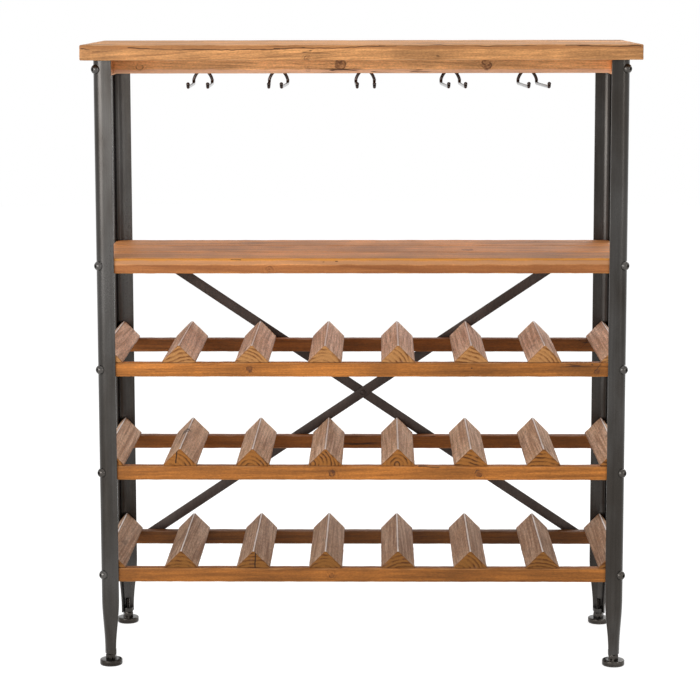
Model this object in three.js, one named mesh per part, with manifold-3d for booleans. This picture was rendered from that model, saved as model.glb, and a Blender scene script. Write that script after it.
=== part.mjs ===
// Floor wine rack: a plank top and one shelf over three tiers of bottle rests, held at the
// corners by four bent steel posts on levelling feet, with two crossed steel bars behind.
// Millimetres, +Z up, the front faces -Y, and the origin is on the floor at the middle.
import * as THREE from 'three';
import { mergeVertices } from 'three/addons/utils/BufferGeometryUtils.js';
import Module from 'manifold-3d';

// Overall size
const rackWidth = 965;
const rackDepth = 356;
const rackHeight = 1100;

// Gap that separate pieces keep where one is let into, bolted to or bent round another
const fit = 0.3;
// How far a cutting shape runs past the face that it opens
const overrun = 6;

// Plank top and shelf
const topThickness = 27;
const topOverhang = 20;
const shelfThickness = 27;
const shelfTop = 730;

// Corner posts, bent from steel strip, drawn in at the foot
const postLeg = 32;
const postThickness = 3;
const postBendRadius = 16;
const postEnd = 20;
const postFootLeg = 21;
const postFootInset = 4;
const taperStart = 120;
const taperEnd = 28;
const bossRadius = 9.6;
const bossHeight = 8;

// Levelling feet, screwed into the bosses
const footDiscRadius = 20;
const footDiscHeight = 10;
const footEdgeRadius = 2;
const footInset = 15;
const footNutAcross = 17;
const footStemRadius = 4;
const footStemTop = 46;

// Dome-headed bolts through the bend of each post
const boltHeadRadius = 8.5;
const boltHeadHeight = 7.5;
const boltShankRadius = 3;
const boltShankLength = 14;
const boltSocketRadius = 2.9;
const boltSocketDepth = 2.2;

// Rails under the top: one at each side, one along the middle
const sideRailThickness = 15;
const sideRailHeight = 31;
const centreRailThickness = 20;
const centreRailHeight = 28;

// Tiers of bottle rests
const tierCount = 3;
const tierPitch = 184;
const lowestTierTop = 178;
const railHeight = 25;
const railDepth = 20;
const dividerCount = 8;
const dividerPitch = 128;
const dividerBase = 60;
const dividerEdge = 2.5;
const dividerRidge = 3;

// Crossed flat bars at the back
const braceWidth = 18;
const braceThickness = 3;
const braceHoleInset = 20.5;
const braceEndMargin = 11;
const springReach = 210;
const rivetRadius = 2.5;
const rivetHeadRadius = 5.5;
const rivetHeadHeight = 2.5;
const braceScrewHeadRadius = 4.5;
const braceScrewHeadHeight = 2.4;
const braceScrewShankRadius = 2;
const braceScrewShankLength = 16;

// Wire loops under the top, which carry stemmed glasses by the foot
const wireRadius = 2.8;
const loopSpacing = 33;
const loopReach = 158;
const loopDrop = 19;
const loopBendRadius = 7;
const tipBendRadius = 3.5;
const tipHeight = 5.5;
const tipBallRadius = 3.2;
const loopScrewRadius = 2.2;
const loopScrewRise = 6;
const loopScrewHeadRadius = 5.5;
const loopScrewHeadHeight = 2.8;
const loopScrewGrip = 13;
// The loops were bent and fixed by eye. Their places are shares of the half length of the
// centre rail, how far the legs lean to the right is a share of their reach, and how far
// apart the tips are is a share of the spacing.
const loopPlaceShares = [-0.641, -0.336, 0.013, 0.356, 0.666];
const loopLeanShares = [0.017, 0.004, 0.014, 0.047, 0.068];
const tipSpreadShares = [1.03, 0.66, 0.9, 0.88, 1.06];
// How wide the arch of a loop still is halfway up, as a share of the width at the legs
const loopShoulderShare = 0.88;

// Facets of the round shapes
const bendSteps = 5;
const roundSides = 12;
const holeSides = 10;
const wireSides = 6;
const domeSteps = 2;
const taperSteps = 6;
const rampSteps = 4;
const shoulderSteps = 4;
const wireBendSteps = 3;

// Places that follow from the sizes above
const topBottom = rackHeight - topThickness;
const postHalfWidth = rackWidth / 2 - topOverhang;
const postHalfDepth = rackDepth / 2 - topOverhang;
const woodHalfWidth = postHalfWidth - postThickness - fit;
const woodHalfDepth = postHalfDepth - postThickness - fit;
const woodCornerRadius = postBendRadius - postThickness - fit;
const railLength = 2 * woodHalfWidth;
const braceHoleReach = postHalfWidth - postLeg - braceHoleInset;
const tierTops = Array.from({ length: tierCount }, (_, i) => lowestTierTop + (tierCount - 1 - i) * tierPitch);
const centreRailBottom = topBottom - centreRailHeight;
const centreRailHalf = woodHalfWidth - sideRailThickness;
const shelfMiddle = shelfTop - shelfThickness / 2;
const corners = [
  { side: 'front_left', x: -1, y: -1 },
  { side: 'front_right', x: 1, y: -1 },
  { side: 'back_left', x: -1, y: 1 },
  { side: 'back_right', x: 1, y: 1 },
];
const frontCorners = corners.filter((corner) => corner.y < 0);
const backCorners = corners.filter((corner) => corner.y > 0);

// Finishes
const finish = (color, roughness, metalness) => (
  new THREE.MeshStandardMaterial({ color, roughness, metalness })
);
const plankWood = finish(0x9a6234, 0.75, 0);
const restWood = finish(0x86695a, 0.8, 0);
const postSteel = finish(0x56575a, 0.45, 0.7);
const barSteel = finish(0x2b2828, 0.5, 0.6);
const wireSteel = finish(0x3a3a3c, 0.35, 0.8);
const footSteel = finish(0x242426, 0.5, 0.6);

const wasm = await Module();
wasm.setup();

function toSolid(geometry) {
  const bare = geometry.clone();
  bare.deleteAttribute('normal');
  bare.deleteAttribute('uv');
  const merged = mergeVertices(bare);
  const vertProperties = new Float32Array(merged.attributes.position.array);
  const triVerts = new Uint32Array(merged.index.array);
  return new wasm.Manifold(new wasm.Mesh({ numProp: 3, vertProperties, triVerts }));
}

function toGeometry(solid) {
  const { vertProperties, triVerts } = solid.getMesh();
  const geometry = new THREE.BufferGeometry();
  geometry.setAttribute('position', new THREE.BufferAttribute(vertProperties, 3));
  geometry.setIndex(new THREE.BufferAttribute(triVerts, 1));
  geometry.computeVertexNormals();
  return geometry;
}

function cut(geometry, tools) {
  return toGeometry(tools.reduce((solid, tool) => solid.subtract(toSolid(tool)), toSolid(geometry)));
}

function join(geometry, others) {
  return toGeometry(others.reduce((solid, other) => solid.add(toSolid(other)), toSolid(geometry)));
}

// A solid through rings of points, each ring given the same way round, closed at both ends
function loft(rings, capOutline) {
  const count = rings[0].length;
  const positions = rings.flat().flatMap((point) => point.toArray());
  const cap = THREE.ShapeUtils.triangulateShape(capOutline, []);
  const last = (rings.length - 1) * count;
  const index = cap.flatMap(([a, b, c]) => [a, c, b, last + a, last + b, last + c]);
  for (let ring = 0; ring < rings.length - 1; ring += 1) {
    for (let i = 0; i < count; i += 1) {
      const a = ring * count + i;
      const b = ring * count + (i + 1) % count;
      index.push(a, b, b + count, a, b + count, a + count);
    }
  }
  const geometry = new THREE.BufferGeometry();
  geometry.setAttribute('position', new THREE.Float32BufferAttribute(positions, 3));
  geometry.setIndex(index);
  geometry.computeVertexNormals();
  return geometry;
}

function arc(centreX, centreY, radius, from, to, steps) {
  return Array.from({ length: steps + 1 }, (_, i) => {
    const angle = from + (to - from) * i / steps;
    return new THREE.Vector2(centreX + radius * Math.cos(angle), centreY + radius * Math.sin(angle));
  });
}

function prism(outline, bottom, top) {
  const options = { depth: top - bottom, bevelEnabled: false };
  return new THREE.ExtrudeGeometry(new THREE.Shape(outline), options).translate(0, 0, bottom);
}

function box(x0, x1, y0, y1, z0, z1) {
  const geometry = new THREE.BoxGeometry(x1 - x0, y1 - y0, z1 - z0);
  return geometry.translate((x0 + x1) / 2, (y0 + y1) / 2, (z0 + z1) / 2);
}

// A rod from one point, of the given length, along a direction
function rod(from, direction, length, radius, sides) {
  const geometry = new THREE.CylinderGeometry(radius, radius, length, sides).translate(0, length / 2, 0);
  const turn = new THREE.Quaternion().setFromUnitVectors(new THREE.Vector3(0, 1, 0), direction);
  return geometry.applyQuaternion(turn).translate(from.x, from.y, from.z);
}

function mesh(name, geometry, material) {
  const piece = new THREE.Mesh(geometry, material);
  piece.name = name;
  return piece;
}

// Half the outline of a domed head, from its top on the axis to its rim
function domeOutline(radius, height) {
  const sphere = (radius * radius + height * height) / (2 * height);
  const halfAngle = Math.asin(Math.min(1, radius / sphere));
  return Array.from({ length: domeSteps + 1 }, (_, i) => {
    const angle = halfAngle * i / domeSteps;
    return new THREE.Vector2(sphere * Math.sin(angle), height - sphere * (1 - Math.cos(angle)));
  });
}

// A domed fastener on the Y axis: the head's rim at zero, the shank below it
function fastener(headRadius, headHeight, skirt, shankRadius, shankLength) {
  const outline = [
    ...domeOutline(headRadius, headHeight),
    new THREE.Vector2(headRadius, -skirt),
    new THREE.Vector2(shankRadius, -skirt),
    new THREE.Vector2(shankRadius, -shankLength),
    new THREE.Vector2(0, -shankLength),
  ];
  return new THREE.LatheGeometry(outline.reverse(), roundSides);
}

function aim(geometry, at, direction) {
  const turn = new THREE.Quaternion().setFromUnitVectors(new THREE.Vector3(0, 1, 0), direction);
  return geometry.applyQuaternion(turn).translate(at.x, at.y, at.z);
}

// Where a post bolt sits on the outside of the bend, and which way it points
function boltSeat(corner, height) {
  const in45 = postBendRadius * (1 - Math.SQRT1_2);
  const at = new THREE.Vector3(corner.x * (postHalfWidth - in45), corner.y * (postHalfDepth - in45), height);
  return { at, outward: new THREE.Vector3(corner.x, corner.y, 0).normalize() };
}

function boltHole(corner, height) {
  const { at, outward } = boltSeat(corner, height);
  const from = at.clone().addScaledVector(outward, overrun);
  const length = overrun + boltShankLength + fit;
  return rod(from, outward.clone().negate(), length, boltShankRadius + fit, holeSides);
}

// The plan of the room inside the posts, which every plank between them fills or is cut to
function insideOutline() {
  const x = woodHalfWidth - woodCornerRadius;
  const y = woodHalfDepth - woodCornerRadius;
  const quarter = Math.PI / 2;
  const turns = [[x, y], [-x, y], [-x, -y], [x, -y]];
  return turns.flatMap(([cx, cy], i) => (
    arc(cx, cy, woodCornerRadius, i * quarter, (i + 1) * quarter, bendSteps)
  ));
}

function fitInside(geometry, bottom, top) {
  const room = prism(insideOutline(), bottom - overrun, top + overrun);
  return toGeometry(toSolid(geometry).intersect(toSolid(room)));
}

// Plank top
function topBoard() {
  const x = rackWidth / 2;
  const y = rackDepth / 2;
  return mesh('top_board', box(-x, x, -y, y, topBottom, rackHeight), plankWood);
}

// Side rails under the top, bolted to the posts at both ends
const sideBoltHeight = topBottom - sideRailHeight / 2;

function sideRail(name, side) {
  const inner = side * (woodHalfWidth - sideRailThickness);
  const outer = side * woodHalfWidth;
  const bottom = topBottom - sideRailHeight;
  const x0 = Math.min(inner, outer);
  const x1 = Math.max(inner, outer);
  const bar = fitInside(box(x0, x1, -woodHalfDepth, woodHalfDepth, bottom, topBottom), bottom, topBottom);
  const ends = corners.filter((corner) => corner.x === side);
  const holes = ends.map((corner) => boltHole(corner, sideBoltHeight));
  return mesh(name, cut(bar, holes), plankWood);
}

// Centre rail, screwed up into the top, drilled at the back for the screws of the wire loops
const loopPlaces = loopPlaceShares.map((share) => share * centreRailHalf);
const loopScrewHeight = centreRailBottom + loopScrewRise;
const centreRailBack = centreRailThickness / 2;

function centreRail() {
  const half = centreRailHalf;
  const bar = box(-half, half, -centreRailBack, centreRailBack, centreRailBottom, topBottom);
  const into = new THREE.Vector3(0, -1, 0);
  const holes = loopPlaces.map((x) => {
    const from = new THREE.Vector3(x, centreRailBack + overrun, loopScrewHeight);
    return rod(from, into, overrun + loopScrewGrip + fit, loopScrewRadius + fit, holeSides);
  });
  return mesh('top_centre_rail', cut(bar, holes), plankWood);
}

// Brace geometry that the planks, the bars and the screws share
const braceFront = postHalfDepth - braceThickness;
const braceBack = postHalfDepth;
const lowerBraceHeight = lowestTierTop - railHeight / 2;
const braceRise = shelfMiddle - lowerBraceHeight;
const braceCentre = (shelfMiddle + lowerBraceHeight) / 2;
const braceAngle = Math.atan2(braceRise, 2 * braceHoleReach);
const braceHalfSpan = Math.hypot(braceRise, 2 * braceHoleReach) / 2;
const springHeight = braceThickness + fit;

function braceScrewHole(x, height) {
  const from = new THREE.Vector3(x, woodHalfDepth + overrun, height);
  const length = overrun + braceScrewShankLength - braceThickness;
  return rod(from, new THREE.Vector3(0, -1, 0), length, braceScrewShankRadius + fit, holeSides);
}

// Shelf, let in between the posts with its corners rounded to their bends
function shelfBoard() {
  const board = prism(insideOutline(), shelfTop - shelfThickness, shelfTop);
  const bolts = corners.map((corner) => boltHole(corner, shelfMiddle));
  const screws = [-1, 1].map((side) => braceScrewHole(side * braceHoleReach, shelfMiddle));
  return mesh('shelf_board', cut(board, [...bolts, ...screws]), plankWood);
}

// One rail of a tier. Heights are from the top of the rail, where the tier's group stands.
function tierRail(name, side, extraHoles) {
  const outer = side * woodHalfDepth;
  const inner = side * (woodHalfDepth - railDepth);
  const y0 = Math.min(outer, inner);
  const y1 = Math.max(outer, inner);
  const bar = fitInside(box(-railLength / 2, railLength / 2, y0, y1, -railHeight, 0), -railHeight, 0);
  const ends = side < 0 ? frontCorners : backCorners;
  const holes = ends.map((corner) => boltHole(corner, -railHeight / 2));
  return mesh(name, cut(bar, [...holes, ...extraHoles]), plankWood);
}

// Three-sided bar that keeps two bottles apart, with a planed ridge and blunt lower edges
function dividerSection() {
  const base = dividerBase / 2;
  const ridge = dividerRidge / 2;
  const top = dividerEdge + base - ridge;
  return [
    new THREE.Vector2(-base, 0),
    new THREE.Vector2(base, 0),
    new THREE.Vector2(base, dividerEdge),
    new THREE.Vector2(ridge, top),
    new THREE.Vector2(-ridge, top),
    new THREE.Vector2(-base, dividerEdge),
  ];
}

function divider(name, x) {
  const height = dividerEdge + dividerBase / 2;
  const bar = prism(dividerSection(), -woodHalfDepth, woodHalfDepth).rotateX(Math.PI / 2).translate(x, 0, 0);
  const reachesPost = Math.abs(x) + dividerBase / 2 > woodHalfWidth - woodCornerRadius;
  return mesh(name, reachesPost ? fitInside(bar, 0, height) : bar, restWood);
}

function tier(number, top) {
  const group = new THREE.Group();
  const isLowest = number === tierCount;
  const screws = [-1, 1].map((side) => braceScrewHole(side * braceHoleReach, -railHeight / 2));
  group.add(tierRail(`tier_${number}_front_rail`, -1, []));
  group.add(tierRail(`tier_${number}_back_rail`, 1, isLowest ? screws : []));
  for (let i = 0; i < dividerCount; i += 1) {
    const x = (i - (dividerCount - 1) / 2) * dividerPitch;
    group.add(divider(`tier_${number}_divider_${i + 1}`, x));
  }
  group.position.z = top;
  return group;
}

// Outline of the post's steel at one height, as distances in from the outer side and the
// outer front or back. The strip narrows and draws in towards the foot.
function postSection(height) {
  const widen = THREE.MathUtils.smoothstep(height, taperEnd, taperStart);
  const leg = THREE.MathUtils.lerp(postFootLeg, postLeg, widen);
  const inset = THREE.MathUtils.lerp(postFootInset, 0, widen);
  const inner = postBendRadius - postThickness;
  const centre = inset + postBendRadius;
  const tip = inset + leg;
  const face = inset + postThickness;
  return [
    ...arc(centre, centre, postBendRadius, Math.PI, 1.5 * Math.PI, bendSteps),
    new THREE.Vector2(tip, inset),
    new THREE.Vector2(tip, face),
    ...arc(centre, centre, inner, 1.5 * Math.PI, Math.PI, bendSteps),
    new THREE.Vector2(face, tip),
    new THREE.Vector2(inset, tip),
  ];
}

// Post of bent strip with a threaded boss welded in its foot and its five bolts tightened home
function post(corner) {
  const taperHeights = Array.from({ length: taperSteps + 1 }, (_, i) => (
    THREE.MathUtils.lerp(taperEnd, taperStart, i / taperSteps)
  ));
  const heights = [postEnd, ...taperHeights, topBottom];
  const mirrored = corner.x * corner.y < 0;
  const placed = (point, height) => new THREE.Vector3(
    corner.x * (postHalfWidth - point.x),
    corner.y * (postHalfDepth - point.y),
    height,
  );
  const rings = heights.map((height) => {
    const section = postSection(height);
    return (mirrored ? section.reverse() : section).map((point) => placed(point, height));
  });
  const capOutline = rings[0].map((point) => new THREE.Vector2(point.x, point.y));
  const strip = loft(rings, capOutline);

  const bossAt = placed(new THREE.Vector2(footInset, footInset), postEnd);
  const up = new THREE.Vector3(0, 0, 1);
  const boss = rod(bossAt, up, bossHeight, bossRadius, roundSides);
  const boltHeights = [...tierTops.map((top) => top - railHeight / 2), shelfMiddle, sideBoltHeight];
  const skirt = postBendRadius - Math.sqrt(postBendRadius ** 2 - boltHeadRadius ** 2) + fit;
  const bolts = boltHeights.map((height) => {
    const { at, outward } = boltSeat(corner, height);
    const bolt = fastener(boltHeadRadius, boltHeadHeight, skirt, boltShankRadius, boltShankLength);
    return aim(bolt, at, outward);
  });
  const sockets = boltHeights.map((height) => {
    const { at, outward } = boltSeat(corner, height);
    const bottom = at.clone().addScaledVector(outward, boltHeadHeight - boltSocketDepth);
    return rod(bottom, outward, boltSocketDepth + overrun, boltSocketRadius, 6);
  });
  const threadBottom = bossAt.clone().addScaledVector(up, -overrun);
  const thread = rod(threadBottom, up, bossHeight + 2 * overrun, footStemRadius + fit, roundSides);
  return mesh(`post_${corner.side}`, cut(join(strip, [boss, ...bolts]), [...sockets, thread]), postSteel);
}

// Levelling foot: disc, lock nut and stem in one turned piece, standing on the floor
function foot(corner) {
  const flat = footDiscRadius - footEdgeRadius;
  const edge = arc(flat, footEdgeRadius, footEdgeRadius, -Math.PI / 2, 0, domeSteps);
  const outline = [
    new THREE.Vector2(0, 0),
    ...edge,
    new THREE.Vector2(footDiscRadius, footDiscHeight),
    new THREE.Vector2(footStemRadius, footDiscHeight),
    new THREE.Vector2(footStemRadius, footStemTop),
    new THREE.Vector2(0, footStemTop),
  ];
  const turned = new THREE.LatheGeometry(outline, 2 * roundSides).rotateX(Math.PI / 2);
  const nutTop = postEnd - fit;
  const nutFrom = new THREE.Vector3(0, 0, footDiscHeight / 2);
  const nutCorner = footNutAcross / Math.sqrt(3);
  const nut = rod(nutFrom, new THREE.Vector3(0, 0, 1), nutTop - nutFrom.z, nutCorner, 6);
  const piece = mesh(`foot_${corner.side}`, join(turned, [nut]), footSteel);
  piece.position.set(corner.x * (postHalfWidth - footInset), corner.y * (postHalfDepth - footInset), 0);
  return piece;
}

// Brace bar along X about its middle. The one that passes behind springs back at the crossing.
function brace(name, spring, slope) {
  const half = braceHalfSpan + braceEndMargin;
  const overlap = braceWidth;
  const ramp = Array.from({ length: rampSteps + 1 }, (_, i) => (
    THREE.MathUtils.lerp(overlap, springReach, i / rampSteps)
  ));
  const stations = spring > 0
    ? [-half, ...ramp.map((reach) => -reach).reverse(), ...ramp, half]
    : [-half, half];
  const rings = stations.map((x) => {
    const offset = spring * (1 - THREE.MathUtils.smoothstep(Math.abs(x), overlap, springReach));
    const front = braceFront + offset;
    const back = braceBack + offset;
    const z = braceWidth / 2;
    return [[front, -z], [back, -z], [back, z], [front, z]].map((place) => new THREE.Vector3(x, ...place));
  });
  const strip = loft(rings, rings[0].map((point) => new THREE.Vector2(point.y, point.z)));
  const along = new THREE.Vector3(0, 1, 0);
  const hole = (x, radius) => {
    const from = new THREE.Vector3(x, braceFront - overrun, 0);
    return rod(from, along, springHeight + braceThickness + 2 * overrun, radius + fit, holeSides);
  };
  const screwHoles = [-braceHalfSpan, braceHalfSpan].map((x) => hole(x, braceScrewShankRadius));
  const piece = mesh(name, cut(strip, [...screwHoles, hole(0, rivetRadius)]), barSteel);
  piece.position.z = braceCentre;
  piece.rotation.y = -slope * braceAngle;
  return piece;
}

// Rivet through both bars, a domed head at each end
function braceRivet() {
  const front = braceFront - fit;
  const back = braceBack + springHeight + fit;
  const frontHead = domeOutline(rivetHeadRadius, rivetHeadHeight);
  const outline = [
    ...frontHead.map((point) => new THREE.Vector2(point.x, front - point.y)),
    new THREE.Vector2(rivetRadius, front),
    new THREE.Vector2(rivetRadius, back),
    ...frontHead.map((point) => new THREE.Vector2(point.x, back + point.y)).reverse(),
  ];
  const piece = mesh('brace_rivet', new THREE.LatheGeometry(outline, roundSides), barSteel);
  piece.position.z = braceCentre;
  return piece;
}

function braceScrew(name, x, height) {
  const head = [braceScrewHeadRadius, braceScrewHeadHeight];
  const screw = fastener(...head, 0, braceScrewShankRadius, braceScrewShankLength);
  const piece = mesh(name, screw, barSteel);
  piece.position.set(x, braceBack + fit, height);
  return piece;
}

// Right half of a wire loop, from the crown behind the centre rail to the tip in front. X is
// across, Y runs from the wire's plane behind the rail, and Z is up from the legs.
const loopCrownRadius = loopScrewRadius + fit + wireRadius;
const loopScrewAboveLegs = loopDrop + loopScrewRise;

function halfLoop(lean, tipHalf) {
  const half = loopSpacing / 2;
  const crown = arc(0, loopScrewAboveLegs, loopCrownRadius, Math.PI / 2, 0, wireBendSteps);
  const shoulder = new THREE.QuadraticBezierCurve(
    new THREE.Vector2(loopCrownRadius, loopScrewAboveLegs),
    new THREE.Vector2(loopShoulderShare * half, (loopScrewAboveLegs + loopBendRadius) / 2),
    new THREE.Vector2(half, loopBendRadius),
  );
  const outline = [...crown, ...shoulder.getPoints(shoulderSteps).slice(1)];
  const arch = outline.map((point) => new THREE.Vector3(point.x, 0, point.y));
  const bend = loopBendRadius;
  const backBend = arc(bend, bend, bend, Math.PI, 1.5 * Math.PI, wireBendSteps).slice(1);
  const tipBendCentre = loopReach - tipBendRadius;
  const frontBend = arc(tipBendCentre, tipBendRadius, tipBendRadius, -Math.PI / 2, 0, wireBendSteps);
  const legX = (reach) => THREE.MathUtils.lerp(half, lean + tipHalf, reach / loopReach);
  const leg = [...backBend, ...frontBend, new THREE.Vector2(loopReach, tipHeight)];
  return [...arch, ...leg.map((point) => new THREE.Vector3(legX(point.x), -point.x, point.y))];
}

// Round wire along a list of points, each ring square to the wire
function wire(points) {
  const circle = arc(0, 0, wireRadius, 0, 2 * Math.PI, wireSides).slice(0, wireSides);
  const direction = (i) => {
    const before = points[Math.max(i - 1, 0)];
    const after = points[Math.min(i + 1, points.length - 1)];
    return after.clone().sub(before).normalize();
  };
  const side = new THREE.Vector3(1, 0, 0);
  const rings = points.map((point, i) => {
    const along = direction(i);
    side.addScaledVector(along, -side.dot(along)).normalize();
    const up = along.clone().cross(side);
    return circle.map((spot) => point.clone().addScaledVector(side, spot.x).addScaledVector(up, spot.y));
  });
  return loft(rings, circle);
}

function glassLoop(number, x, lean, spread) {
  const tipHalf = spread * loopSpacing / 2;
  const right = halfLoop(lean, tipHalf);
  const left = halfLoop(-lean, tipHalf).map((point) => new THREE.Vector3(-point.x, point.y, point.z));
  const points = [...left.reverse(), ...right.slice(1)];
  const balls = [points[0], points[points.length - 1]].map((tip) => (
    new THREE.SphereGeometry(tipBallRadius, holeSides, domeSteps * 2).translate(tip.x, tip.y, tip.z)
  ));
  const piece = mesh(`glass_hanger_${number}`, join(wire(points), balls), wireSteel);
  piece.position.set(x, centreRailBack + fit + wireRadius, centreRailBottom - loopDrop);
  return piece;
}

function glassLoopScrew(number, x) {
  const seat = centreRailBack + 2 * fit + 2 * wireRadius;
  const shank = seat - centreRailBack + loopScrewGrip;
  const screw = fastener(loopScrewHeadRadius, loopScrewHeadHeight, 0, loopScrewRadius, shank);
  const piece = mesh(`glass_hanger_screw_${number}`, screw, barSteel);
  piece.position.set(x, seat, loopScrewHeight);
  return piece;
}

const rack = new THREE.Group();
rack.add(topBoard());
rack.add(sideRail('top_side_rail_left', -1));
rack.add(sideRail('top_side_rail_right', 1));
rack.add(centreRail());
rack.add(shelfBoard());
tierTops.forEach((top, i) => rack.add(tier(i + 1, top)));
corners.forEach((corner) => rack.add(post(corner), foot(corner)));
rack.add(brace('brace_rising', 0, 1));
rack.add(brace('brace_falling', springHeight, -1));
rack.add(braceRivet());
for (const [side, x] of [['left', -braceHoleReach], ['right', braceHoleReach]]) {
  rack.add(braceScrew(`brace_screw_top_${side}`, x, shelfMiddle));
  rack.add(braceScrew(`brace_screw_bottom_${side}`, x, lowerBraceHeight));
}
loopPlaces.forEach((x, i) => {
  rack.add(glassLoop(i + 1, x, loopLeanShares[i] * loopReach, tipSpreadShares[i]));
  rack.add(glassLoopScrew(i + 1, x));
});

export default rack;
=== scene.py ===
# A floor wine rack on a pale studio floor: a top and a shelf of worn fir planks, three tiers
# of three-sided bottle rests, posts of bent steel strip, and wire loops for stemmed glasses.
import bmesh
import bpy
import math
import numpy as np
import random
from mathutils import Matrix, Vector


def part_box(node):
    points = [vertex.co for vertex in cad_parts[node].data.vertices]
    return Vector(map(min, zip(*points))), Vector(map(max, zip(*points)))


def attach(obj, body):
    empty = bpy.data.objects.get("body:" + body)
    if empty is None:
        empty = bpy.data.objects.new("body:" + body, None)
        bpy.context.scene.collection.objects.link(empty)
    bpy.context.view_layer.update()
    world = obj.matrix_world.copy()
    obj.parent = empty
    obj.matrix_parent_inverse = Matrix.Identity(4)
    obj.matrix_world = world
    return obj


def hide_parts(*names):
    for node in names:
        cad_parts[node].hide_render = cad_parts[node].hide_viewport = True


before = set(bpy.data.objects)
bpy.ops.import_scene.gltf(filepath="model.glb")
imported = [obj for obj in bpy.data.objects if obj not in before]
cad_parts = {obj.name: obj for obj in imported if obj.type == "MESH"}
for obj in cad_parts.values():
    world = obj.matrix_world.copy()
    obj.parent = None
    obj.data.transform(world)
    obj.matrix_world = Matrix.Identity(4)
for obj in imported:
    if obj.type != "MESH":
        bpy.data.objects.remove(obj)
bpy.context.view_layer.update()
bpy.ops.object.select_all(action="DESELECT")
scene = bpy.context.scene
scene.view_settings.view_transform = "Standard"

# The camera
# It stands a little to the right of the rack's middle, just above the height of its top,
# and looks slightly down through a long lens, so the tops of the planks still show.
camera_place = (0.0322, -4.2272, 1.1926)
camera_pitch = 7.687
camera_yaw = 0.719
camera_roll = 0.104
camera_turn = [math.radians(angle) for angle in (90 - camera_pitch, camera_roll, camera_yaw)]
bpy.ops.object.camera_add(location=camera_place, rotation=camera_turn)
camera = bpy.context.object
camera.data.lens = 121.27
camera.data.shift_y = -0.06
scene.camera = camera


# The studio
# A pale floor in a white room, a wide soft lamp in front on the left with a narrow one beside
# it that the posts mirror, a weaker one on the right, one overhead and one behind.
def paint(red, green, blue):
    """A colour as a picture shows it, 0 to 255, turned into the linear colour of a shader."""
    return [((channel / 255 + 0.055) / 1.055) ** 2.4 for channel in (red, green, blue)] + [1]


def shade(tree, kind, inputs=None, out=0, **settings):
    """Adds a shader node, sets or links its inputs, and gives back one of its outputs."""
    made = tree.nodes.new(kind)
    for name, value in settings.items():
        setattr(made, name, value)
    for name, value in (inputs or {}).items():
        if isinstance(value, bpy.types.NodeSocket):
            tree.links.new(value, made.inputs[name])
        else:
            made.inputs[name].default_value = value
    return made.outputs[out]


def shade_on(kind, inputs, out=0, **settings):
    """Adds a shader node to the tree that its inputs come from."""
    sources = [value for value in inputs.values() if isinstance(value, bpy.types.NodeSocket)]
    return shade(sources[0].id_data, kind, inputs, out, **settings)


def close(kind, surface):
    """Ends the shader tree of a surface with its output node."""
    tree = surface.id_data
    tree.links.new(surface, tree.nodes.new(kind).inputs["Surface"])


def sums(operation, *numbers):
    """A sum of up to three numbers, or a function of them."""
    return shade_on("ShaderNodeMath", dict(enumerate(numbers)), operation=operation)


def largest(numbers):
    """The largest of several numbers."""
    top = numbers[0]
    for number in numbers[1:]:
        top = sums("MAXIMUM", top, number)
    return top


def seen_ray(tree):
    """One for the rays of the camera and of gloss or glass, zero for those that carry light."""
    kinds = ("Is Camera Ray", "Is Glossy Ray", "Is Transmission Ray")
    return largest([shade(tree, "ShaderNodeLightPath", out=kind) for kind in kinds])


room_light = 0.48
world = bpy.data.worlds.new("white_room")
world.use_nodes = True
scene.world = world
room = world.node_tree
room.nodes.clear()
lit_room = shade(room, "ShaderNodeBackground", {"Color": (1, 1, 1, 1), "Strength": room_light})
white_room = shade(room, "ShaderNodeBackground", {"Color": (1, 1, 1, 1), "Strength": 1.0})
room_seen = shade_on("ShaderNodeMixShader", {0: seen_ray(room), 1: lit_room, 2: white_room})
close("ShaderNodeOutputWorld", room_seen)

floor_reach = 9
bpy.ops.mesh.primitive_circle_add(vertices=96, radius=floor_reach, fill_type="NGON")
floor = bpy.context.object
floor.name = "studio_floor"
floor_paint = bpy.data.materials.new("pale_floor")
floor_paint.use_nodes = True
floor_tree = floor_paint.node_tree
floor_tree.nodes.clear()
plain = shade(floor_tree, "ShaderNodeBsdfDiffuse", {"Color": paint(226, 226, 224)})
shadowed = shade(floor_tree, "ShaderNodeBsdfDiffuse", {"Color": (0.4, 0.4, 0.4, 1)})
glow = shade(floor_tree, "ShaderNodeEmission", {"Color": (1, 1, 1, 1), "Strength": 0.84})
pale = shade_on("ShaderNodeAddShader", {0: shadowed, 1: glow})
floor_seen = shade_on("ShaderNodeMixShader", {0: seen_ray(floor_tree), 1: plain, 2: pale})
close("ShaderNodeOutputMaterial", floor_seen)
floor.data.materials.append(floor_paint)


def hang_lamp(name, place, aim, width, height, watts):
    """A soft box of the given size, turned to face a point on the rack."""
    turn = (Vector(aim) - Vector(place)).to_track_quat("-Z", "Y").to_euler()
    bpy.ops.object.light_add(type="AREA", location=place, rotation=turn)
    lamp = bpy.context.object
    lamp.name = name
    lamp.data.shape = "RECTANGLE"
    lamp.data.size = width
    lamp.data.size_y = height
    lamp.data.energy = watts


hang_lamp("lamp_front_left", (-2.1, -2.6, 1.15), (-0.1, 0, 0.85), 2.1, 1.1, 54)
hang_lamp("lamp_strip", (-0.80, -2.95, 0.92), (-0.45, 0, 0.9), 0.30, 0.46, 3)
hang_lamp("lamp_front_right", (2.5, -2.3, 1.4), (0.1, 0, 0.7), 0.6, 1.3, 13)
hang_lamp("lamp_overhead", (0.1, 0.1, 2.9), (0, 0, 0.5), 2.2, 1.4, 16)
hang_lamp("lamp_behind", (1.6, 2.7, 1.9), (0, 0, 0.7), 1.2, 1.2, 26)

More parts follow.
